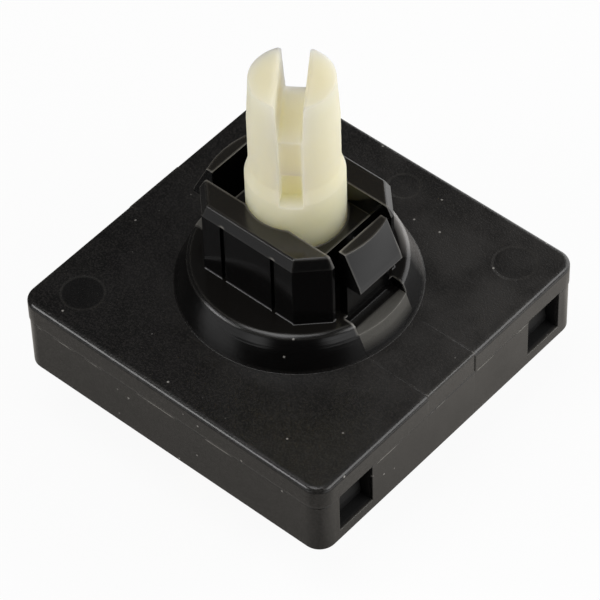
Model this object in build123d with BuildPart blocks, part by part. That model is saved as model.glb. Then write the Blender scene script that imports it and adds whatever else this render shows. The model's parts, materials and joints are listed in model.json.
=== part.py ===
from build123d import *
import os
from math import cos, radians, sin, tan

os.makedirs("parts", exist_ok=True)

# Snap-in rotary switch: a square case with a snap-in boss, a slotted knob shaft and blade terminals.
# Millimetres, +Z along the shaft. Zero is on the shaft's axis, level with the tips of the blades.

# Square case
case_side = 40.3
case_height = 9.4
case_corner = 2.0
case_edge = 0.6
wall = 2.0
roof = 1.8
cavity_corner = 0.8
parting_height = 6.6
parting_step = 0.08

# Strips that the mould's slides leave on the case and the collar
slide_width = 7.3
slide_edge = 0.3
slide_band_depth = 1.2

# Collar that the panel seats on, and the boss that fills the panel's cut-out
collar_foot_radius = 12.8
collar_rim_radius = 11.2
collar_height = 3.8
collar_edge = 0.25
boss_half_length = 8.7
boss_half_width = 7.5
boss_height = 8.9
boss_corner = 2.8
boss_lip = 0.6
boss_lip_drop = 1.2
boss_edge = 0.12
boss_foot_round = 0.15
groove_spacing = 6.6
groove_width = 0.5
groove_depth = 0.4

# Latch fingers, one at each end of the boss
finger_width = 6.4
finger_slot_width = 8.6
finger_inset = 0.4
finger_stem = 1.0
finger_top_radius = 9.6
finger_drop = 0.1
nose_depth = 1.8
nose_height = 0.8
nose_slope = 0.25
nose_edge = 0.12
panel_gap = 4.3
bridge_drop = 2.7
bridge_wall = 0.9

# Windows in two walls, and the catches of the base that spring into them
window_width = 5.0
window_height = 5.4
window_sill = 1.3
window_spacing = 29.5
catch_clearance = 0.15
catch_thickness = 1.5
catch_reach = 0.5
catch_nose = 0.8
catch_rise = 3.8

# Terminal base
base_thickness = 2.0
base_recess = 0.6
base_clearance = 0.1
stop_rib_width = 3.0
stop_rib_depth = 1.6
stop_rib_spacing = 22.0

# Blade terminals, stamped from strip
strip = 0.8
strip_bend = 0.6
blade_length = 8.0
blade_width = 6.3
blade_inset = 5.0
blade_taper = 1.2
blade_edge = 0.2
blade_hole_radius = 0.85
blade_hole_height = 3.6
slot_clearance = 0.1
pad_gap = 0.7
pad_margin = 0.5
ring_inner_radius = 2.3
ring_outer_radius = 6.2
rivet_radius = 0.75
rivet_head_radius = 1.2
rivet_head = 0.45
rivet_head_taper = 0.2
rivet_inset = 2.3
rivet_clearance = 0.05

# Switching angles, counted from the X axis
index_angle = 36.0
positions = 4
first_output_angle = -126.0
feed_angle = 90.0

# Moving contact and its buttons
track_clearance = 0.4
feed_track = 4.6
feed_button_turn = 125.0
button_radius = 0.9
button_drop = 0.6
contact_clearance = 0.05
plate_thickness = 0.8
plate_gap = 0.45
plate_radius = 6.0
arm_width = 2.4
square_clearance = 0.1

# Shaft and its switching flange
shaft_radius = 5.05
running_clearance = 0.05
knob_radius = 4.6
shoulder_start = 3.4
shoulder_rise = 1.5
knob_length = 11.4
prong_taper = 0.3
prong_round = 0.5
slot_angle = -54.0
slot_depth = 5.2
slot_top_width = 2.85
slot_floor_width = 2.4
slot_round = 0.35
keyway_width = 2.35
keyway_depth = 0.75
keyway_end = 3.1
pocket_height = 3.5
pocket_width = 2.1
pocket_depth = 0.75
flange_radius = 10.4
flange_play = 0.15
pivot_radius = 1.4
pivot_clearance = 0.05
pivot_end_gap = 0.1
pivot_depth = 1.3
square_side = 3.0
stop_inner_radius = 7.0
stop_outer_radius = 9.0
stop_height = 1.5
stop_angle = 16.0
stop_clearance = 0.3
stop_clearance_angle = 0.5

# Contact spring in the flange
spring_wire = 0.6
spring_radius = 2.75
spring_turns = 2.5
spring_sides = 4
spring_seat = 4.0
spring_side_clearance = 0.25
spring_end_clearance = 0.03

# Detent notches and the two leaf springs that click into them
notch_radius = 1.6
notch_offset = 0.6
notch_lead = 0.3
leaf_thickness = 0.35
leaf_clearance = 0.1
leaf_half_angle = 30.0
leaf_leg_rise = 1.4
leaf_end_rise = 2.2
leaf_half_span = 15.0
leaf_end_length = 3.2
leaf_bend = 0.6
leaf_side_gap = 0.1
post_length = 3.0
post_wall = 1.1
post_slot_clearance = 0.05
post_end_wall = 0.4

# Levels, from the blade tips up
case_foot = blade_length
case_top = case_foot + case_height
roof_under = case_top - roof
collar_top = case_top + collar_height
boss_top = collar_top + boss_height
base_under = case_foot + base_recess
base_top = base_under + base_thickness
pad_top = base_top + strip
plate_under = pad_top + contact_clearance + button_drop
plate_top = plate_under + plate_thickness
flange_top = roof_under - flange_play
flange_under = plate_top + plate_gap
shoulder_low = boss_top + shoulder_start
shoulder_high = shoulder_low + shoulder_rise
shaft_tip = shoulder_high + knob_length
slot_floor = shaft_tip - slot_depth
keyway_low = boss_top + keyway_end
spring_roof = plate_top + spring_seat

# Radii and widths that follow from the sizes above
bore_radius = shaft_radius + running_clearance
lower_side = case_side - 2 * parting_step
cavity_side = case_side - 2 * wall
base_side = cavity_side - 2 * base_clearance
finger_back = boss_half_length - finger_inset
stem_face = finger_back + finger_stem
nose_face = stem_face + nose_depth
nose_brow = nose_face - nose_slope
ledge = collar_top + panel_gap
nose_top = ledge + nose_height
finger_level = boss_top - finger_drop
bridge_outer = bore_radius + bridge_wall
window_low = case_foot + window_sill
window_middle = window_low + window_height / 2
notch_orbit = flange_radius + notch_offset
spring_pocket_radius = spring_radius + spring_wire / 2 + spring_side_clearance
blade_radius = case_side / 2 - blade_inset
rivet_orbit = blade_radius - rivet_inset
contact_track = rivet_orbit - rivet_head_radius - track_clearance - button_radius
pad_inner_radius = contact_track - button_radius - pad_margin
pad_width = 2 * pad_inner_radius * tan(radians(index_angle / 2)) - pad_gap
travel = index_angle * (positions - 1)
output_angles = [first_output_angle + index_angle * i for i in range(positions - 1)]
off_angle = first_output_angle + travel
rest_arm_angle = first_output_angle
leaf_low = flange_under + leaf_side_gap
leaf_high = flange_top - leaf_side_gap
leaf_bump = notch_radius - leaf_clearance - leaf_thickness / 2
leaf_apex = notch_orbit - leaf_bump / sin(radians(leaf_half_angle))
leaf_leg_end = notch_orbit + leaf_leg_rise
leaf_leg_half = (leaf_leg_end - leaf_apex) * tan(radians(leaf_half_angle))
leaf_end = notch_orbit + leaf_end_rise

# A solid that stands on its location
STANDING = (Align.CENTER, Align.CENTER, Align.MIN)


def around(radius, angle):
    """A point at this radius and angle about the shaft's axis."""
    return (radius * cos(radians(angle)), radius * sin(radians(angle)))


def facing_plane(radius, angle):
    """An upright plane at this radius that faces outwards at this angle; local Y runs up."""
    out = (cos(radians(angle)), sin(radians(angle)), 0)
    return Plane(origin=(*around(radius, angle), 0), x_dir=(-out[1], out[0], 0), z_dir=out)


def wedge(start, size, reach):
    """Corners of a wedge about the axis that holds every point of this angle out to this radius."""
    far = 2 * reach
    return [(0, 0), around(far, start), around(far, start + size / 2), around(far, start + size)]


# Latch fingers: a stem, a nose that hooks behind the panel's edge, and a slope up to a round top
with BuildPart() as fingers:
    with BuildSketch(Plane.XZ) as hook:
        with BuildLine():
            Polyline(
                (finger_back, case_top),
                (stem_face, case_top),
                (stem_face, ledge),
                (nose_face, ledge),
                (nose_brow, nose_top),
                (finger_back, nose_top),
                close=True,
            )
        make_face()
        fillet(hook.vertices().sort_by(Axis.X)[-1], nose_edge)
    extrude(amount=finger_width / 2, both=True)
    with BuildSketch(Plane.XY.offset(nose_top)):
        with Locations((finger_back, 0)):
            Rectangle(nose_brow - finger_back, finger_width, align=(Align.MIN, Align.CENTER))
    with BuildSketch(Plane.XY.offset(finger_level)):
        Circle(finger_top_radius)
        with Locations((finger_back, 0)):
            Rectangle(finger_top_radius, finger_width, align=(Align.MIN, Align.CENTER), mode=Mode.INTERSECT)
    loft(ruled=True)
    mirror(about=Plane.YZ)

# Housing: case, collar, boss and latch fingers in one moulding
with BuildPart() as housing:
    with BuildSketch(Plane.XY.offset(case_foot)):
        RectangleRounded(lower_side, lower_side, case_corner - parting_step)
    extrude(amount=parting_height)
    with BuildSketch(Plane.XY.offset(case_foot + parting_height)):
        RectangleRounded(case_side, case_side, case_corner)
    extrude(amount=case_height - parting_height)
    fillet(housing.faces().sort_by(Axis.Z)[-1].edges(), case_edge)

    with BuildSketch(Plane.XY.offset(case_foot)):
        RectangleRounded(cavity_side, cavity_side, cavity_corner)
    extrude(amount=case_height - roof, mode=Mode.SUBTRACT)
    with BuildSketch(Plane.YZ):
        with Locations((0, window_middle)):
            with GridLocations(window_spacing, 0, 2, 1):
                Rectangle(window_width, window_height)
    extrude(amount=case_side, both=True, mode=Mode.SUBTRACT)

    # The slides that form the noses leave a flat strip with a sharper edge in two walls.
    with BuildSketch(Plane.XY.offset(case_top)):
        with GridLocations(case_side, 0, 2, 1):
            Rectangle(2 * parting_step, slide_width)
    extrude(amount=parting_height - case_height, mode=Mode.SUBTRACT)
    with BuildSketch(Plane.XZ) as strip_edge:
        with Locations((lower_side / 2, case_top)):
            Rectangle(case_edge, case_edge, align=(Align.MAX, Align.MAX))
        fillet(strip_edge.vertices().group_by(Axis.Y)[-1].sort_by(Axis.X)[-1], slide_edge)
        mirror(about=Plane.YZ)
    extrude(amount=slide_width / 2, both=True)

    with Locations((0, 0, case_top)):
        Cone(collar_foot_radius, collar_rim_radius, collar_height, align=STANDING)
    chamfer(housing.faces().sort_by(Axis.Z)[-1].edges(), collar_edge)

    with BuildSketch(Plane.XY.offset(collar_top)) as boss_outline:
        Rectangle(2 * boss_half_length, 2 * boss_half_width)
        chamfer(boss_outline.vertices(), boss_corner)
    extrude(amount=boss_height)
    boss_face = housing.faces().sort_by(Axis.Z)[-1]
    chamfer(boss_face.edges(), boss_lip, boss_lip_drop, reference=boss_face)
    chamfer(housing.faces().sort_by(Axis.Z)[-1].edges(), boss_edge)
    boss_foot = housing.edges().filter_by_position(Axis.Z, collar_top, collar_top)
    fillet(boss_foot.filter_by(GeomType.LINE), boss_foot_round)

    # Slots that free the fingers, and between them a low bridge that closes the bore
    with BuildSketch(Plane.XY.offset(boss_top)):
        Rectangle(case_side, finger_slot_width)
    extrude(amount=-bridge_drop, mode=Mode.SUBTRACT)
    with BuildSketch(Plane.XY.offset(boss_top)):
        Rectangle(case_side, finger_slot_width)
        Rectangle(2 * bridge_outer, finger_slot_width, mode=Mode.SUBTRACT)
    extrude(amount=-boss_height, mode=Mode.SUBTRACT)
    with BuildSketch(Plane.XY.offset(collar_top)):
        Rectangle(2 * collar_foot_radius, slide_width)
        Rectangle(2 * stem_face, slide_width, mode=Mode.SUBTRACT)
    extrude(amount=-slide_band_depth, mode=Mode.SUBTRACT)
    add(fingers.part)

    with BuildSketch(Plane.XY.offset(collar_top)):
        for side in (-1, 1):
            with Locations((0, side * (boss_half_width + (boss_foot_round - groove_depth) / 2))):
                with GridLocations(groove_spacing, 0, 2, 1):
                    Rectangle(groove_width, groove_depth + boss_foot_round)
    extrude(amount=boss_height - boss_lip_drop, mode=Mode.SUBTRACT)
    with Locations((0, 0, roof_under)):
        Cylinder(bore_radius, boss_top - roof_under, align=STANDING, mode=Mode.SUBTRACT)

    # Inside: the groove that stops the shaft, posts for the leaf springs, ribs that seat the base
    with BuildSketch(Plane.XY.offset(roof_under)):
        Circle(stop_outer_radius + stop_clearance)
        Circle(stop_inner_radius - stop_clearance, mode=Mode.SUBTRACT)
        with BuildLine():
            groove_start = -travel / 2 - stop_angle / 2 - stop_clearance_angle
            groove_size = travel + stop_angle + 2 * stop_clearance_angle
            Polyline(wedge(groove_start, groove_size, stop_outer_radius), close=True)
        make_face(mode=Mode.INTERSECT)
    extrude(amount=stop_height, mode=Mode.SUBTRACT)
    with BuildSketch(Plane.XY.offset(roof_under)):
        post_x = leaf_half_span - post_length / 2 + post_end_wall
        with GridLocations(2 * post_x, 2 * leaf_end, 2, 2):
            Rectangle(post_length, leaf_thickness + 2 * post_wall)
        with GridLocations(0, 2 * leaf_end, 1, 2):
            slot_length = 2 * (leaf_half_span + post_slot_clearance)
            Rectangle(slot_length, leaf_thickness + 2 * post_slot_clearance, mode=Mode.SUBTRACT)
    extrude(amount=leaf_low - roof_under)
    with BuildSketch(Plane.XY.offset(base_top)):
        with GridLocations(stop_rib_spacing, cavity_side - stop_rib_depth, 2, 2):
            Rectangle(stop_rib_width, stop_rib_depth)
    extrude(amount=roof_under - base_top)
housing.part.label = "housing"
export_step(housing.part, "parts/housing.step")

# Terminal base: closes the case, carries the terminals, catches in the windows
with BuildPart() as terminal_base:
    with BuildSketch(Plane.XY.offset(base_under)):
        RectangleRounded(base_side, base_side, cavity_corner)
    extrude(amount=base_thickness)
    catch_planes = [Plane.XZ.offset(side * window_spacing / 2) for side in (-1, 1)]
    with BuildSketch(*catch_planes):
        with BuildLine():
            nose_low = window_low + catch_clearance
            nose_high = nose_low + catch_nose + catch_rise
            Polyline(
                (base_side / 2 - catch_thickness, base_under),
                (base_side / 2, base_under),
                (base_side / 2, nose_low),
                (base_side / 2 + catch_reach, nose_low),
                (base_side / 2 + catch_reach, nose_low + catch_nose),
                (base_side / 2, nose_high),
                (base_side / 2 - catch_thickness, nose_high),
                close=True,
            )
        make_face()
        mirror(about=Plane.YZ)
    extrude(amount=window_width / 2 - catch_clearance, both=True)
    with BuildSketch(Plane.XY.offset(base_top)):
        with PolarLocations((pad_inner_radius + rivet_orbit) / 2, 1, off_angle):
            Rectangle(rivet_orbit - pad_inner_radius, pad_width)
    extrude(amount=strip)
    with BuildSketch(Plane.XY.offset(base_under)):
        for angle in output_angles + [feed_angle]:
            with PolarLocations(blade_radius, 1, angle):
                Rectangle(strip + 2 * slot_clearance, blade_width + 2 * slot_clearance)
            with PolarLocations(rivet_orbit, 1, angle):
                Circle(rivet_radius + rivet_clearance)
    extrude(amount=base_thickness, mode=Mode.SUBTRACT)
    with Locations((0, 0, base_top)):
        Cylinder(
            pivot_radius + pivot_clearance,
            pivot_depth + pivot_end_gap,
            align=(Align.CENTER, Align.CENTER, Align.MAX),
            mode=Mode.SUBTRACT,
        )
terminal_base.part.label = "terminal_base"
export_step(terminal_base.part, "parts/terminal_base.step")

# Terminals, each with its rivet: the feed has a ring round the axis, the outputs have plain pads
terminals = [("feed_terminal", "feed_rivet", feed_angle)]
for i, angle in enumerate(output_angles, start=1):
    terminals.append((f"output_terminal_{i}", f"output_rivet_{i}", angle))
for terminal_name, rivet_name, angle in terminals:
    has_ring = angle == feed_angle
    pad_start = ring_inner_radius if has_ring else pad_inner_radius
    pad_length = blade_radius + strip / 2 - pad_start
    with BuildPart() as terminal:
        with BuildSketch(Plane.XY.offset(base_top)):
            if has_ring:
                Circle(ring_outer_radius)
            with PolarLocations(pad_start + pad_length / 2, 1, angle):
                Rectangle(pad_length, pad_width)
            if has_ring:
                Circle(ring_inner_radius, mode=Mode.SUBTRACT)
            with PolarLocations(rivet_orbit, 1, angle):
                Circle(rivet_radius + rivet_clearance, mode=Mode.SUBTRACT)
        extrude(amount=strip)
        outwards = Axis((0, 0, 0), around(1, angle))
        bend = terminal.edges().group_by(Axis.Z)[-1].sort_by(outwards)[-1]
        fillet(bend, strip_bend)
        with BuildSketch(facing_plane(blade_radius, angle)) as blade:
            Rectangle(blade_width, base_top, align=(Align.CENTER, Align.MIN))
            chamfer(blade.vertices().group_by(Axis.Y)[0], blade_taper)
            with Locations((0, blade_hole_height)):
                Circle(blade_hole_radius, mode=Mode.SUBTRACT)
        extrude(amount=strip / 2, both=True)
        chamfer(terminal.faces().sort_by(Axis.Z)[0].edges(), blade_edge)
    terminal.part.label = terminal_name
    export_step(terminal.part, f"parts/{terminal_name}.step")

    with BuildPart() as rivet:
        rivet_end_radius = rivet_head_radius - rivet_head_taper
        with Locations((*around(rivet_orbit, angle), base_under)):
            Cylinder(rivet_radius, pad_top - base_under, align=STANDING)
        with Locations((*around(rivet_orbit, angle), base_under - rivet_head)):
            Cone(rivet_end_radius, rivet_head_radius, rivet_head, align=STANDING)
        with Locations((*around(rivet_orbit, angle), pad_top)):
            Cylinder(rivet_head_radius, rivet_head, align=STANDING)
    rivet.part.label = rivet_name
    export_step(rivet.part, f"parts/{rivet_name}.step")

# Leaf springs that click into the notches, each held by its ends in two posts
for leaf_name, turn in (("detent_spring_rear", 0), ("detent_spring_front", 180)):
    with BuildPart() as leaf:
        with BuildSketch(Plane.XY.offset(leaf_low).rotated((0, 0, turn))):
            with BuildLine():
                FilletPolyline(
                    (-leaf_half_span, leaf_end),
                    (leaf_end_length - leaf_half_span, leaf_end),
                    (-leaf_leg_half, leaf_leg_end),
                    (0, leaf_apex),
                    (leaf_leg_half, leaf_leg_end),
                    (leaf_half_span - leaf_end_length, leaf_end),
                    (leaf_half_span, leaf_end),
                    radius=[leaf_bend, leaf_bend, leaf_bump, leaf_bend, leaf_bend],
                )
            trace(line_width=leaf_thickness)
        extrude(amount=leaf_high - leaf_low)
    leaf.part.label = leaf_name
    export_step(leaf.part, f"parts/{leaf_name}.step")

# Shaft: slotted knob end, notched flange with its stop, square drive and pivot in one moulding
with BuildPart() as shaft:
    with BuildSketch(Plane.XZ):
        with BuildLine():
            Polyline(
                (0, flange_under),
                (shaft_radius, flange_under),
                (shaft_radius, shoulder_low),
                (knob_radius, shoulder_high),
                (knob_radius, slot_floor),
                (knob_radius - prong_taper, shaft_tip),
                (0, shaft_tip),
                close=True,
            )
        make_face()
    revolve(axis=Axis.Z)

    with BuildSketch(facing_plane(0, slot_angle)) as slot:
        with BuildLine():
            Polyline(
                (-slot_floor_width / 2, slot_floor),
                (slot_floor_width / 2, slot_floor),
                (slot_top_width / 2, shaft_tip),
                (-slot_top_width / 2, shaft_tip),
                close=True,
            )
        make_face()
        fillet(slot.vertices().group_by(Axis.Y)[0], slot_round)
    extrude(amount=shaft_radius, both=True, mode=Mode.SUBTRACT)
    mouth = shaft.edges().filter_by(GeomType.LINE).group_by(Axis.Z)[-1]
    fillet(mouth, prong_round)
    for side in (0, 180):
        with BuildSketch(facing_plane(knob_radius - keyway_depth, slot_angle + side)):
            with Locations((0, keyway_low)):
                keyway_height = slot_floor - keyway_low + slot_round
                Rectangle(keyway_width, keyway_height, align=(Align.CENTER, Align.MIN))
        extrude(amount=shaft_radius, mode=Mode.SUBTRACT)
        with BuildSketch(facing_plane(knob_radius - keyway_depth - pocket_depth, slot_angle + side)):
            with Locations((0, keyway_low)):
                Rectangle(pocket_width, pocket_height, align=(Align.CENTER, Align.MIN))
        extrude(amount=shaft_radius, mode=Mode.SUBTRACT)

    with BuildSketch(Plane.XY.offset(flange_under)) as star:
        Circle(flange_radius)
        for leaf_angle in (90, 270):
            with PolarLocations(notch_orbit, positions, leaf_angle - travel, travel, endpoint=True):
                Circle(notch_radius, mode=Mode.SUBTRACT)
        chamfer(star.vertices(), notch_lead)
    extrude(amount=flange_top - flange_under)
    with BuildSketch(Plane.XY.offset(flange_top)):
        Circle(stop_outer_radius)
        Circle(stop_inner_radius, mode=Mode.SUBTRACT)
        with BuildLine():
            Polyline(wedge(-travel / 2 - stop_angle / 2, stop_angle, stop_outer_radius), close=True)
        make_face(mode=Mode.INTERSECT)
    extrude(amount=stop_height)

    with Locations((0, 0, flange_under)):
        Cylinder(spring_pocket_radius, spring_roof - flange_under, align=STANDING, mode=Mode.SUBTRACT)
    with BuildSketch(Plane.XY.offset(plate_under).rotated((0, 0, rest_arm_angle))):
        Rectangle(square_side, square_side)
    extrude(amount=spring_roof - plate_under)
    with Locations((0, 0, base_top - pivot_depth)):
        Cylinder(pivot_radius, plate_under - base_top + pivot_depth, align=STANDING)
shaft.part.label = "shaft"
export_step(shaft.part, "parts/shaft.step")

# Moving contact: a plate on the shaft's square, with an arm that wipes the output pads
button_places = [around(contact_track, rest_arm_angle)]
for turn in (-feed_button_turn, feed_button_turn):
    button_places.append(around(feed_track, rest_arm_angle + turn))
with BuildPart() as contact_plate:
    with BuildSketch(Plane.XY.offset(plate_under)):
        Circle(plate_radius)
        with PolarLocations(contact_track / 2, 1, rest_arm_angle):
            SlotCenterToCenter(contact_track, arm_width)
        with PolarLocations(0, 1, rest_arm_angle):
            hole_side = square_side + 2 * square_clearance
            Rectangle(hole_side, hole_side, mode=Mode.SUBTRACT)
    extrude(amount=plate_thickness)
contact_plate.part.label = "contact_plate"
export_step(contact_plate.part, "parts/contact_plate.step")

# Contact buttons, welded to the underside of the plate
button_names = ("output_contact_button", "feed_contact_button_1", "feed_contact_button_2")
for button_name, place in zip(button_names, button_places):
    with BuildPart() as button:
        with Locations((*place, plate_under - button_drop)):
            Cylinder(button_radius, button_drop, align=STANDING)
    button.part.label = button_name
    export_step(button.part, f"parts/{button_name}.step")

# Contact spring, between the plate and the roof of the flange's pocket, of square wire
with BuildPart() as contact_spring:
    coil_height = spring_seat - 2 * spring_end_clearance - spring_wire
    coil_start = plate_top + spring_end_clearance + spring_wire / 2
    with BuildLine():
        coil = Helix(coil_height / spring_turns, coil_height, spring_radius, center=(0, 0, coil_start))
    with BuildSketch(Plane(coil @ 0, z_dir=coil % 0)):
        RegularPolygon(spring_wire / 2, spring_sides)
    sweep(path=coil)
contact_spring.part.label = "contact_spring"
export_step(contact_spring.part, "parts/contact_spring.step")
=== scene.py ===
import json
from functools import partial
from math import cos, radians, sin

import bpy
from mathutils import Matrix, Vector


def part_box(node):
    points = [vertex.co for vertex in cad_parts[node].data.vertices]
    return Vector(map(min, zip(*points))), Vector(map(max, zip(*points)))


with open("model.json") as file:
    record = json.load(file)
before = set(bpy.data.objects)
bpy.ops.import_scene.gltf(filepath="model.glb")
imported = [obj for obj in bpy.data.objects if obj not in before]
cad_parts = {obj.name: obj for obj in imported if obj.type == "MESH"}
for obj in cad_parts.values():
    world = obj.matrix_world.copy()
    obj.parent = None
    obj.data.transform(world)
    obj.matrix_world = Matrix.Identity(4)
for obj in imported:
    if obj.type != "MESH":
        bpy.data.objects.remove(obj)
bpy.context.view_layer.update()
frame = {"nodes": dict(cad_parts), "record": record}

MM = 0.001

# Levels, radii and widths of the mouldings that their finish follows
CASE_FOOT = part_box("housing")[0].z
CASE_TOP = CASE_FOOT + 9.4 * MM
COLLAR_HEIGHT = 3.8 * MM
COLLAR_TOP = CASE_TOP + COLLAR_HEIGHT
BOSS_TOP = COLLAR_TOP + 8.9 * MM
SHAFT_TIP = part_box("shaft")[1].z
WALL_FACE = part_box("housing")[1].x
CORNER_SUM = 2 * WALL_FACE - 1.7 * MM
COLLAR_RIM = 11.2 * MM
SLIDE_EDGE = 3.65 * MM
PARTING = CASE_FOOT + 6.6 * MM

# Ejector pins: place, radius, and how dark the mark is
EJECTOR_PINS = (
    (-15.55 * MM, -15.55 * MM, 2.25 * MM, 0.7),
    (15.55 * MM, 15.55 * MM, 2.25 * MM, 0.15),
    (0.0, 16.6 * MM, 1.7 * MM, 0.15),
)

# Sizes of the patterns. The real grain, fibres, turned lines and rolled lines are finer than a pixel,
# so they are drawn as coarse as they need to show
GRAIN = 0.22 * MM
COARSE_GRAIN = 0.45 * MM
TURNED_LINE = 0.3 * MM
FIBRE = 0.25 * MM
ROLLED_LINE = 0.12 * MM
STAIN = 2.5 * MM
MOTTLE = 5.0 * MM
FLASH_LENGTH = 3.0 * MM
DUST_SPACING = 2.0 * MM
IVORY_CLOUD = 6.0 * MM
IVORY_RIPPLE = 0.8 * MM

# Relief that the finish gives: depths, how round the edges are, and how much the collar's flank bulges
GRAIN_DEPTH = 0.03 * MM
MARK_DEPTH = 0.03 * MM
FIBRE_DEPTH = 0.03 * MM
TURNED_DEPTH = 0.02 * MM
RIPPLE_DEPTH = 0.02 * MM
ROLLED_DEPTH = 0.01 * MM
EDGE_ROUND = 0.11 * MM
RIM_ROUND = 0.5 * MM
IVORY_ROUND = 0.4 * MM
FLANK_BULGE = 0.3 / COLLAR_HEIGHT

# Painted sheen: the direction of the pale patch painted on the collar's rim
SHEEN_TURN = radians(62)

# Shine of the black moulding, and what makes it duller
WALL_ROUGHNESS = (0.2, 0.26)
POLISHED_ROUGHNESS = 0.18
TOP_DULLER = 0.1
STRIP_DULLER = 0.35
INSIDE_DULLER = 0.7
UNEVEN_SHINE = 0.08

# How much light bends, and how deep it goes into the ivory
NYLON_IOR = 1.53
RESIN_IOR = 1.55
ACRYLIC_IOR = 1.49
LIGHT_DEPTH = 8.0 * MM

# Painted reflection: how bright the sheet is painted for mirrors, by the direction from the object in
# degrees, in place of its surroundings: dark behind the camera and far left, white to the right
PAINTED_HORIZON = (
    (-145, 0.04),
    (-125, 0.55),
    (-95, 0.55),
    (-87, 0.85),
    (-80, 0.85),
    (-70, 0.03),
    (-33, 0.03),
    (-24, 1.00),
    (122, 1.00),
    (140, 0.04),
)
FLOOR_SIZE = 6.0
FLOOR_WHITE = 0.93

# Soft lamps: direction from the X axis and height in degrees, distance, width, height, power
LAMPS = {
    "top_softbox": (-95, 76, 0.6, 0.34, 0.34, 1.25),
    "left_softbox": (-122, 26, 0.5, 0.3, 0.2, 1.0),
    "right_softbox": (20, 31, 0.4, 0.36, 0.24, 0.85),
    "rear_softbox": (80, 20, 0.4, 0.5, 0.3, 0.8),
}
SURROUND = 0.03
MIRRORED_SURROUND = 0.02

# Camera, as the photograph was taken
PHOTO_AZIMUTH = 42.423
PHOTO_ELEVATION = 48.696
PHOTO_ROLL = -2.015
PHOTO_DISTANCE = 396.307 * MM
PHOTO_SHIFT_RIGHT = -0.120 * MM
PHOTO_SHIFT_UP = 3.969 * MM
PHOTO_LENS = 229.97
SENSOR_WIDTH = 36.0

# Kinds of node that come often
MATH = "ShaderNodeMath"
RANGE = "ShaderNodeMapRange"
MIX = "ShaderNodeMix"
NOISE = "ShaderNodeTexNoise"
BUMP = "ShaderNodeBump"
VECTOR = "ShaderNodeVectorMath"
PRINCIPLED = "ShaderNodeBsdfPrincipled"


def linear(hex_colour):
    """An sRGB hex colour as linear RGBA."""
    values = []
    for start in (1, 3, 5):
        level = int(hex_colour[start:start + 2], 16) / 255
        values.append(level / 12.92 if level <= 0.04045 else ((level + 0.055) / 1.055) ** 2.4)
    return (*values, 1.0)


def node(tree, kind, links=(), out=0, **settings):
    """Adds a node with its settings, feeds its sockets in order or by name, and gives one output."""
    made = tree.nodes.new(kind)
    for name, value in settings.items():
        setattr(made, name, value)
    for socket, value in links.items() if isinstance(links, dict) else enumerate(links):
        if isinstance(value, bpy.types.NodeSocket):
            tree.links.new(value, made.inputs[socket])
        else:
            made.inputs[socket].default_value = value
    return made.outputs[out] if made.outputs else None


def new_material(name):
    """An empty node material, and the function that adds nodes to it."""
    made = bpy.data.materials.new(name)
    made.use_nodes = True
    made.node_tree.nodes.clear()
    return made, partial(node, made.node_tree)


def stripe(add, across, middle, edge, core):
    """A stripe of the surface: whole within the core on both sides of the middle, gone at the edge."""
    off = add(MATH, (across, middle), operation="SUBTRACT")
    return add(RANGE, (add(MATH, (off,), operation="ABSOLUTE"), edge, core))


def ejector_pin_marks(add, place):
    """What the ejector pins leave on the case's top: discs, how dark they are, and a painted highlight
    ring round each.
    """
    discs = shades = ring_highlights = 0.0
    for x, y, radius, shade in EJECTOR_PINS:
        reach = add(VECTOR, (place, (x, y, CASE_TOP)), "Value", operation="DISTANCE")
        disc = add(RANGE, (reach, radius + 0.15 * MM, radius - 0.15 * MM))
        ring_highlight = stripe(add, reach, radius, 0.2 * MM, 0.06 * MM)
        discs = add(MATH, (discs, disc), operation="ADD")
        shades = add(MATH, (disc, shade, shades), operation="MULTIPLY_ADD")
        ring_highlights = add(MATH, (ring_highlights, ring_highlight), operation="ADD")
    return discs, shades, ring_highlights


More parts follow.
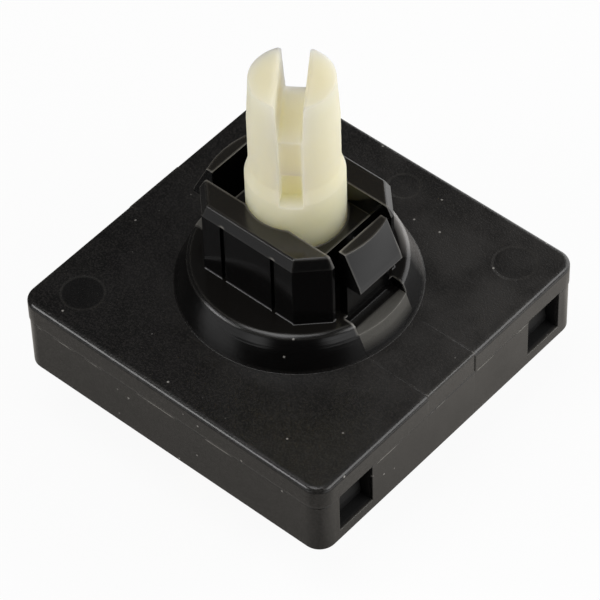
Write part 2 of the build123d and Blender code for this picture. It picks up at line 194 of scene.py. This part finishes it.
def black_nylon():
    # Black nylon, injection moulded: the case has the mould's fine matt grain, the collar and boss are
    # smoother and mirror what stands near them. Edges are pale, partly rubbed and partly painted
    # highlight; a film of dust and painted sheen lies on it, and shade is painted inside the windows.
    made, add = new_material("black_nylon_moulded")
    place = add("ShaderNodeTexCoord", out="Object")
    x, y, z = add("ShaderNodeSeparateXYZ", (place,)).node.outputs
    along = add(MATH, (x,), operation="ABSOLUTE")
    beside = add(MATH, (y,), operation="ABSOLUTE")
    turn = add(MATH, (y, x), operation="ARCTAN2")
    flat_place = add("ShaderNodeCombineXYZ", (x, y))
    radius = add(VECTOR, (flat_place,), "Value", operation="LENGTH")
    polished = add(RANGE, (z, CASE_TOP + 0.05 * MM, CASE_TOP + 0.4 * MM))
    unpolished = add(RANGE, (z, CASE_TOP + 0.4 * MM, CASE_TOP + 0.05 * MM))
    grain = add(NOISE, {"Vector": place, "Scale": 1 / GRAIN})
    coarse_grain = add(NOISE, {"Vector": place, "Scale": 1 / COARSE_GRAIN})
    mottle = add(NOISE, {"Vector": place, "Scale": 1 / MOTTLE, "Detail": 3.0})
    normal = add("ShaderNodeNewGeometry", out="Normal")
    upwards = add(RANGE, (add("ShaderNodeSeparateXYZ", (normal,), "Z"), 0.8, 0.95))

    # Marks of the mould: ejector pins and slide lines on the case's top, and a groove where it parts
    discs, shades, ring_highlights = ejector_pin_marks(add, place)
    slide_line = stripe(add, beside, SLIDE_EDGE, 0.12 * MM, 0.03 * MM)
    faintness = add(RANGE, (mottle, 0.42, 0.62, 0.0, 0.6))
    faint_line = add(MATH, (slide_line, faintness), operation="MULTIPLY")
    top_line = add(MATH, (faint_line, unpolished), operation="MULTIPLY")
    shallow = add(MATH, (discs, top_line), operation="MAXIMUM")
    groove = stripe(add, z, PARTING, 0.22 * MM, 0.06 * MM)
    sunk = add(MATH, (groove, 2.5, shallow), operation="MULTIPLY_ADD")

    # The strips of the collar's flank that the slides formed are matt; their pale colour, fading towards
    # the foot, is painted sheen, and their pale border a painted highlight
    above_foot = add(RANGE, (z, CASE_TOP + 0.1 * MM, CASE_TOP + 0.3 * MM))
    below_rim = add(RANGE, (z, COLLAR_TOP - 0.15 * MM, COLLAR_TOP - 0.35 * MM))
    flank = add(MATH, (above_foot, below_rim), operation="MULTIPLY")
    at_side = add(RANGE, (along, COLLAR_RIM - 1.0 * MM, COLLAR_RIM - 0.7 * MM))
    flank_side = add(MATH, (flank, at_side), operation="MULTIPLY")
    strip_width = add(RANGE, (beside, SLIDE_EDGE, SLIDE_EDGE - 0.1 * MM))
    strip_height = add(RANGE, (z, CASE_TOP + 0.6 * MM, CASE_TOP + 1.8 * MM))
    strip = add(MATH, (strip_width, strip_height), operation="MULTIPLY")
    matt_sheen_strip = add(MATH, (flank_side, strip), operation="MULTIPLY")
    strip_border_highlight = add(MATH, (matt_sheen_strip, slide_line), operation="MULTIPLY")

    # Edges are slightly round, and the collar's rim more so
    rim_out = stripe(add, radius, COLLAR_RIM, 1.0 * MM, 0.6 * MM)
    rim_up = stripe(add, z, COLLAR_TOP, 1.0 * MM, 0.6 * MM)
    rim = add(MATH, (rim_out, rim_up), operation="MULTIPLY")
    edge_round = add(RANGE, (rim, 0.0, 1.0, EDGE_ROUND, RIM_ROUND))
    soft_edge = add("ShaderNodeBevel", (edge_round,), samples=8)
    marks = {"Height": sunk, "Strength": 1.0, "Distance": MARK_DEPTH, "Normal": soft_edge}
    marked = add(BUMP, marks, invert=True)

    # The collar's flank bulges a little and has fine lines round it from the turned mould
    drop = add(RANGE, (z, COLLAR_TOP, CASE_TOP, 0.0, COLLAR_HEIGHT))
    drop_squared = add(MATH, (drop, drop), operation="MULTIPLY")
    bulge = add(MATH, (drop_squared, -FLANK_BULGE / 2), operation="MULTIPLY")
    level_place = add("ShaderNodeMapping", {"Vector": place, "Scale": (0.05, 0.05, 1.0)})
    lines = add(NOISE, {"Vector": level_place, "Scale": 1 / TURNED_LINE})
    line_depth = add(MATH, (flank, TURNED_DEPTH), operation="MULTIPLY")
    turned = add(MATH, (lines, line_depth, bulge), operation="MULTIPLY_ADD")
    curved = add(BUMP, {"Height": turned, "Strength": 1.0, "Distance": 1.0, "Normal": marked})

    # The grain is deep on the case's top, shallow on its walls and faint on what is polished
    case_grain = add(RANGE, (upwards, 0.0, 1.0, 0.3, 1.0))
    grain_share = add(RANGE, (polished, 0.0, 1.0, 1.0, 0.1))
    plain_grain = add(MATH, (case_grain, grain_share), operation="MULTIPLY")
    strength = add(MATH, (plain_grain, matt_sheen_strip), operation="MAXIMUM")
    skin = {"Height": grain, "Strength": strength, "Distance": GRAIN_DEPTH, "Normal": curved}
    grained = add(BUMP, skin)

    # Pale edges, partly rubbed wear and partly painted highlight on upward-facing edges: close to an
    # outer edge the moulding is thin when looked at from inside
    look = {"samples": 6, "inside": True, "only_local": True}
    thickness = add("ShaderNodeAmbientOcclusion", {"Distance": 0.3 * MM}, "AO", **look)
    edge = add(RANGE, (thickness, 0.9, 0.55))
    rising = add(RANGE, (add("ShaderNodeSeparateXYZ", (soft_edge,), "Z"), 0.1, 0.5))
    upper_edge = add(MATH, (edge, rising), operation="MULTIPLY")
    patchy = add(RANGE, (mottle, 0.35, 0.6, 0.35, 1.0))
    worn_and_highlit_edges = add(MATH, (upper_edge, patchy), operation="MULTIPLY")

    # Flash: a pale broken line under the groove where the mould parts
    seam = stripe(add, z, PARTING - 0.25 * MM, 0.1 * MM, 0.03 * MM)
    lengths = add(NOISE, {"Vector": place, "Scale": 1 / FLASH_LENGTH, "Detail": 3.0})
    flash = add(MATH, (seam, add(RANGE, (lengths, 0.52, 0.62))), operation="MULTIPLY")

    # Dust: single specks from a coarse cell pattern, a film on the case, partly dust and partly painted
    # sheen, that is lighter towards one side and round the collar, and a little on what faces up above
    # the case
    cells = add("ShaderNodeTexVoronoi", {"Vector": place, "Scale": 1 / DUST_SPACING}).node.outputs
    chosen = add(MATH, (cells["Color"], 0.5), operation="GREATER_THAN")
    speck = add(RANGE, (cells["Distance"], 0.08, 0.035))
    specks = add(MATH, (chosen, speck), operation="MULTIPLY")
    across = add(MATH, (x, y), operation="ADD")
    lighter_to_one_side = add(RANGE, (across, 2.0 * MM, 32.0 * MM, 0.12, 0.75))
    lighter_by_collar = add(RANGE, (radius, 19.0 * MM, 14.0 * MM, 0.0, 0.15))
    dust_and_sheen_depth = add(MATH, (lighter_to_one_side, lighter_by_collar), operation="ADD")
    cloudy = add(RANGE, (mottle, 0.35, 0.65, 0.4, 1.0))
    dust_and_sheen_film = add(MATH, (dust_and_sheen_depth, cloudy), operation="MULTIPLY")
    topmost = add(RANGE, (z, BOSS_TOP - 1.5 * MM, BOSS_TOP - 0.5 * MM, 0.35, 1.0))
    settled = add(MATH, (upwards, topmost), operation="MULTIPLY")

    # Painted sheen: one side of the collar's rim is painted pale in place of a highlight
    rim_border = add(RANGE, (radius, COLLAR_RIM - 1.0 * MM, COLLAR_RIM - 0.4 * MM))
    below_boss = add(RANGE, (z, COLLAR_TOP + 0.3 * MM, COLLAR_TOP + 0.1 * MM))
    collar_border = add(MATH, (rim_border, below_boss), operation="MULTIPLY")
    on_rim = add(MATH, (collar_border, polished), operation="MULTIPLY")
    sheen_side = stripe(add, turn, SHEEN_TURN, 0.45, 0.15)
    painted_sheen_patch = add(MATH, (on_rim, sheen_side), operation="MULTIPLY")

    # Inside the windows it is dull and painted darker, a painted shade; the case's round corners lie as
    # far in, but not by the sum
    outermost = add(MATH, (along, beside), operation="MAXIMUM")
    behind_wall = add(RANGE, (outermost, WALL_FACE - 0.3 * MM, WALL_FACE - 0.6 * MM))
    both_sides = add(MATH, (along, beside), operation="ADD")
    off_corner = add(RANGE, (both_sides, CORNER_SUM, CORNER_SUM - 0.4 * MM))
    under_top = add(RANGE, (z, CASE_TOP - 0.8 * MM, CASE_TOP - 1.2 * MM))
    within_walls = add(MATH, (behind_wall, off_corner), operation="MULTIPLY")
    inside = add(MATH, (within_walls, under_top), operation="MULTIPLY")

    # Colours, from the skin outwards: the grained case, the polished collar and boss, marks and dust,
    # painted sheen, painted highlights and painted shade
    fine_grain = add(MATH, (grain, 0.7), operation="MULTIPLY")
    both_grains = add(MATH, (coarse_grain, 0.3, fine_grain), operation="MULTIPLY_ADD")
    speckle = add(RANGE, (both_grains, 0.45, 0.6))
    painted_border_highlight = add(MATH, (strip_border_highlight, 0.6), operation="MULTIPLY")
    painted_mark_highlights = add(MATH, (ring_highlights, 0.05, painted_border_highlight), operation="MULTIPLY_ADD")
    highlit_edges_and_flash = add(MATH, (worn_and_highlit_edges, flash), operation="MAXIMUM")
    wear_and_highlights = add(MATH, (highlit_edges_and_flash, painted_mark_highlights), operation="MAXIMUM")
    # The film layer is partly dust and partly painted sheen, lighter towards one side and round the
    # collar
    case_layers = ((speckle, "#1f1d1c"), (dust_and_sheen_film, "#3a3836"), (shades, "#040404"))
    case_colour = linear("#020202")
    for share, hue in case_layers:
        case_colour = add(MIX, {0: share, 6: case_colour, 7: linear(hue)}, 2, data_type="RGBA")
    smooth_layers = ((grain, "#0c0b0b"), (settled, "#211f1c"))
    smooth_colour = linear("#030303")
    for share, hue in smooth_layers:
        smooth_colour = add(MIX, {0: share, 6: smooth_colour, 7: linear(hue)}, 2, data_type="RGBA")
    # Among these layers, the slide strip's pale colour and the rim patch are painted sheen, the pale
    # edges and rings partly painted highlight, and the dark inside of the windows painted shade
    outer_layers = (
        (matt_sheen_strip, "#54524d"),
        (painted_sheen_patch, "#868380"),
        (wear_and_highlights, "#7d7a74"),
        (specks, "#989590"),
        (inside, "#020202"),
    )
    colour = add(MIX, {0: polished, 6: case_colour, 7: smooth_colour}, 2, data_type="RGBA")
    for share, hue in outer_layers:
        colour = add(MIX, {0: share, 6: colour, 7: linear(hue)}, 2, data_type="RGBA")

    # Shine: the case's top is duller than its walls, and the collar and boss shine most
    wall = add(RANGE, (mottle, 0.3, 0.7, *WALL_ROUGHNESS))
    case = add(MATH, (upwards, TOP_DULLER, wall), operation="MULTIPLY_ADD")
    to_polish = add(MATH, (POLISHED_ROUGHNESS, case), operation="SUBTRACT")
    plain = add(MATH, (polished, to_polish, case), operation="MULTIPLY_ADD")
    stripped = add(MATH, (matt_sheen_strip, STRIP_DULLER, plain), operation="MULTIPLY_ADD")
    roughness = add(MATH, (inside, INSIDE_DULLER, stripped), operation="MULTIPLY_ADD")
    finish = {"Base Color": colour, "Roughness": roughness, "IOR": NYLON_IOR, "Normal": grained}
    add("ShaderNodeOutputMaterial", (add(PRINCIPLED, finish),))
    return made


def base_resin():
    # Glass-filled black resin, moulded: duller than the housing, with short pale fibres near its skin.
    made, add = new_material("glass_filled_resin_moulded")
    place = add("ShaderNodeTexCoord", out="Object")
    stretched = add("ShaderNodeMapping", {"Vector": place, "Scale": (1.0, 0.25, 1.0)})
    fibres = add(NOISE, {"Vector": stretched, "Scale": 1 / FIBRE})
    pale = add(RANGE, (fibres, 0.6, 0.8, 0.0, 0.6))
    tones = {0: pale, 6: linear("#040404"), 7: linear("#0e0d0c")}
    colour = add(MIX, tones, 2, data_type="RGBA")
    bump = add(BUMP, {"Height": fibres, "Strength": 0.3, "Distance": FIBRE_DEPTH})
    finish = {"Base Color": colour, "Roughness": 0.6, "IOR": RESIN_IOR, "Normal": bump}
    add("ShaderNodeOutputMaterial", (add(PRINCIPLED, finish),))
    return made


def natural_nylon():
    # Unfilled nylon in its natural ivory, moulded: light goes deep into it, so edges are soft and
    # hollows hardly darken; hollows and the foot are also painted paler, and the tips' upper faces
    # darker.
    made, add = new_material("natural_nylon_moulded")
    place = add("ShaderNodeTexCoord", out="Object")
    height = add("ShaderNodeSeparateXYZ", (place,), "Z")
    clouds = add(NOISE, {"Vector": place, "Scale": 1 / IVORY_CLOUD})
    soft_edge = add("ShaderNodeBevel", (IVORY_ROUND,), samples=8)

    # Painted light: hollows and the foot are painted paler, in place of light through the wall; painted
    # shade: the tips' upward faces are painted a little darker
    openness = add("ShaderNodeAmbientOcclusion", {"Distance": 3.0 * MM}, "AO", samples=8)
    painted_glow_hollow = add(RANGE, (openness, 0.85, 0.4))
    foot = add(RANGE, (height, BOSS_TOP + 7.0 * MM, BOSS_TOP))
    tip_height = add(RANGE, (height, SHAFT_TIP - 4.2 * MM, SHAFT_TIP - 3.4 * MM))
    rising = add(RANGE, (add("ShaderNodeSeparateXYZ", (soft_edge,), "Z"), 0.15, 0.6))
    painted_shade_tip = add(MATH, (tip_height, rising), operation="MULTIPLY")
    layers = ((clouds, "#f3e9cc"), (painted_glow_hollow, "#fbf2db"), (foot, "#fceec5"), (painted_shade_tip, "#e5d9b7"))
    colour = linear("#efe4c2")
    for share, hue in layers:
        colour = add(MIX, {0: share, 6: colour, 7: linear(hue)}, 2, data_type="RGBA")

    # The skin is slightly wavy
    waves = add(NOISE, {"Vector": place, "Scale": 1 / IVORY_RIPPLE})
    skin = {"Height": waves, "Strength": 0.12, "Distance": RIPPLE_DEPTH, "Normal": soft_edge}
    finish = {
        "Base Color": colour,
        "Roughness": 0.6,
        "IOR": NYLON_IOR,
        "Subsurface Weight": 1.0,
        "Subsurface Radius": (1.0, 0.97, 0.9),
        "Subsurface Scale": LIGHT_DEPTH,
        "Normal": add(BUMP, skin),
    }
    add("ShaderNodeOutputMaterial", (add(PRINCIPLED, finish),))
    return made


def rolled_metal(name, hue, roughness):
    # Rolled strip, pressed or headed pieces and drawn wire: fine lines, and a slightly uneven shine.
    made, add = new_material(name)
    place = add("ShaderNodeTexCoord", out="Object")
    along = add("ShaderNodeMapping", {"Vector": place, "Scale": (1.0, 1.0, 0.08)})
    lines = add(NOISE, {"Vector": along, "Scale": 1 / ROLLED_LINE, "Detail": 3.0})
    stain = add(NOISE, {"Vector": place, "Scale": 1 / STAIN, "Detail": 3.0})
    shine = add(RANGE, (stain, 0.0, 1.0, roughness - UNEVEN_SHINE, roughness + UNEVEN_SHINE))
    bump = add(BUMP, {"Height": lines, "Strength": 0.15, "Distance": ROLLED_DEPTH})
    finish = {"Base Color": linear(hue), "Metallic": 1.0, "Roughness": shine, "Normal": bump}
    add("ShaderNodeOutputMaterial", (add(PRINCIPLED, finish),))
    return made


def studio_floor():
    """The sheet that the switch stands on, under the blade tips."""
    # White acrylic, cast: plain white to the camera and open from below; to mirrors it glows with a
    # painted reflection of its surroundings and a painted shadow by the case.
    bpy.ops.object.select_all(action="DESELECT")
    bpy.ops.mesh.primitive_plane_add(size=FLOOR_SIZE, location=(0, 0, 0))
    floor = bpy.context.active_object
    floor.name = "studio_floor"
    made, add = new_material("white_acrylic_sheet")
    place = add("ShaderNodeTexCoord", out="Object")
    x, y, _ = add("ShaderNodeSeparateXYZ", (place,)).node.outputs

    # Painted reflection far off, by direction
    turn = add(MATH, (y, x), operation="ARCTAN2")
    circle = add(RANGE, (turn, radians(-180), radians(180)))
    painted_far_reflection = add("ShaderNodeValToRGB", (circle,))
    stops = painted_far_reflection.node.color_ramp.elements
    while len(stops) < len(PAINTED_HORIZON):
        stops.new(0.5)
    for stop, (angle, level) in zip(stops, PAINTED_HORIZON):
        stop.position = (angle + 180) / 360
        stop.color = (level, level, level, 1.0)

    # Painted reflection close to the case, with painted shadow by side and by distance from the wall
    front = add(RANGE, (y, -28 * MM, -20 * MM, 0.40, 0.56))
    rear = add(RANGE, (y, -20 * MM, 20 * MM, 0.0, 0.12))
    side = add(MATH, (front, rear), operation="ADD")
    sides = [add(MATH, (way,), operation="ABSOLUTE") for way in (x, y)]
    beside = add(MATH, sides, operation="MAXIMUM")
    shade = add(RANGE, (beside, WALL_FACE + 6 * MM, WALL_FACE + 10 * MM, 0.7, 1.1))
    outer = add(RANGE, (beside, WALL_FACE + 10.5 * MM, WALL_FACE + 13.5 * MM, 1.0, 0.55))
    shading = add(MATH, (shade, outer), operation="MULTIPLY")
    near = add(MATH, (side, shading), operation="MULTIPLY")
    tones = {0: near, 6: linear("#000000"), 7: linear("#fff9f0")}
    painted_near_reflection = add(MIX, tones, 2, data_type="RGBA")
    reach = add(VECTOR, (place,), "Value", operation="LENGTH")
    far = add(RANGE, (reach, 45 * MM, 65 * MM))
    painted_reflection = add(MIX, {0: far, 6: painted_near_reflection, 7: painted_far_reflection}, 2, data_type="RGBA")

    # The camera, and what is seen through something clear, get plain white with the object's shadow
    rays = add("ShaderNodeLightPath").node.outputs
    direct = (rays["Is Camera Ray"], rays["Is Transmission Ray"])
    plain = add(MATH, direct, operation="MAXIMUM")
    shown = add(MIX, {0: plain, 6: painted_reflection, 7: linear("#ffffff")}, 2, data_type="RGBA")
    lit = add(MATH, (plain, FLOOR_WHITE), operation="MULTIPLY")
    seen = add(MATH, (lit, rays["Is Glossy Ray"]), operation="MAXIMUM")
    acrylic = {"Base Color": linear("#f6f6f6"), "Roughness": 0.3, "IOR": ACRYLIC_IOR}
    glow = add("ShaderNodeEmission", {"Color": shown, "Strength": 1.0})
    above = add("ShaderNodeMixShader", (seen, add(PRINCIPLED, acrylic), glow))
    below = add("ShaderNodeNewGeometry", out="Backfacing")
    clear = add("ShaderNodeBsdfTransparent")
    sheet = add("ShaderNodeMixShader", (below, above, clear))
    add("ShaderNodeOutputMaterial", (sheet,))
    floor.data.materials.append(made)


def softbox(name, azimuth, elevation, distance, width, height, power):
    """A soft lamp that faces the object from this direction, hidden from the camera."""
    lamp = bpy.data.lights.new(name, "AREA")
    lamp.shape = "RECTANGLE"
    lamp.size = width
    lamp.size_y = height
    lamp.energy = power
    holder = bpy.data.objects.new(name, lamp)
    bpy.context.scene.collection.objects.link(holder)
    az = radians(azimuth)
    el = radians(elevation)
    back = Vector((cos(az) * cos(el), sin(az) * cos(el), sin(el)))
    holder.location = back * distance
    holder.rotation_euler = back.to_track_quat("Z", "Y").to_euler()
    holder.visible_camera = False


def studio_light():
    """The lamps, and a dim surround that is white to the camera."""
    for name, settings in LAMPS.items():
        softbox(name, *settings)
    world = bpy.data.worlds.new("studio")
    world.use_nodes = True
    world.node_tree.nodes.clear()
    add = partial(node, world.node_tree)
    rays = add("ShaderNodeLightPath").node.outputs
    direct = (rays["Is Camera Ray"], rays["Is Transmission Ray"])
    plain = add(MATH, direct, operation="MAXIMUM")
    levels = (rays["Is Glossy Ray"], MIRRORED_SURROUND, SURROUND)
    dim = add(MATH, levels, operation="MULTIPLY_ADD")
    strength = add(MATH, (plain, dim), operation="MAXIMUM")
    background = add("ShaderNodeBackground", {"Color": linear("#ffffff"), "Strength": strength})
    add("ShaderNodeOutputWorld", (background,))
    bpy.context.scene.world = world


def photo_camera():
    """The camera where the photograph was taken from."""
    az = radians(PHOTO_AZIMUTH)
    el = radians(PHOTO_ELEVATION)
    roll = radians(PHOTO_ROLL)
    back = Vector((sin(az) * cos(el), -cos(az) * cos(el), sin(el)))
    level_right = Vector((cos(az), sin(az), 0))
    level_up = back.cross(level_right)
    right = cos(roll) * level_right + sin(roll) * level_up
    up = cos(roll) * level_up - sin(roll) * level_right
    foot = Vector((0, 0, CASE_FOOT))
    eye = foot + PHOTO_SHIFT_RIGHT * right + PHOTO_SHIFT_UP * up + PHOTO_DISTANCE * back
    lens = bpy.data.cameras.new("photo_camera")
    lens.lens = PHOTO_LENS
    lens.sensor_width = SENSOR_WIDTH
    lens.clip_start = 0.01
    holder = bpy.data.objects.new("photo_camera", lens)
    bpy.context.scene.collection.objects.link(holder)
    holder.matrix_world = Matrix((
        (right.x, up.x, back.x, eye.x),
        (right.y, up.y, back.y, eye.y),
        (right.z, up.z, back.z, eye.z),
        (0, 0, 0, 1),
    ))
    bpy.context.scene.camera = holder


# Metals: the strip is bright yellow, the rivets a little duller, the plate red, the buttons pale and
# clean, and the springs grey
slot_finishes = {
    "black_nylon": black_nylon(),
    "base_resin": base_resin(),
    "natural_nylon": natural_nylon(),
    "terminal_brass": rolled_metal("brass_rolled", "#d2b36c", 0.3),
    "rivet_brass": rolled_metal("brass_headed", "#c9a862", 0.36),
    "contact_copper": rolled_metal("copper_rolled", "#c98a66", 0.34),
    "contact_silver": rolled_metal("silver_alloy_pressed", "#d8d6d0", 0.3),
    "spring_steel": rolled_metal("spring_steel_drawn", "#9a9a98", 0.32),
}
for entry in frame["record"]["subparts"]:
    materials = frame["nodes"][entry["node"]].data.materials
    materials.clear()
    materials.append(slot_finishes[entry["material_slot"]])

studio_floor()
studio_light()
photo_camera()
bpy.context.scene.view_settings.view_transform = "Standard"
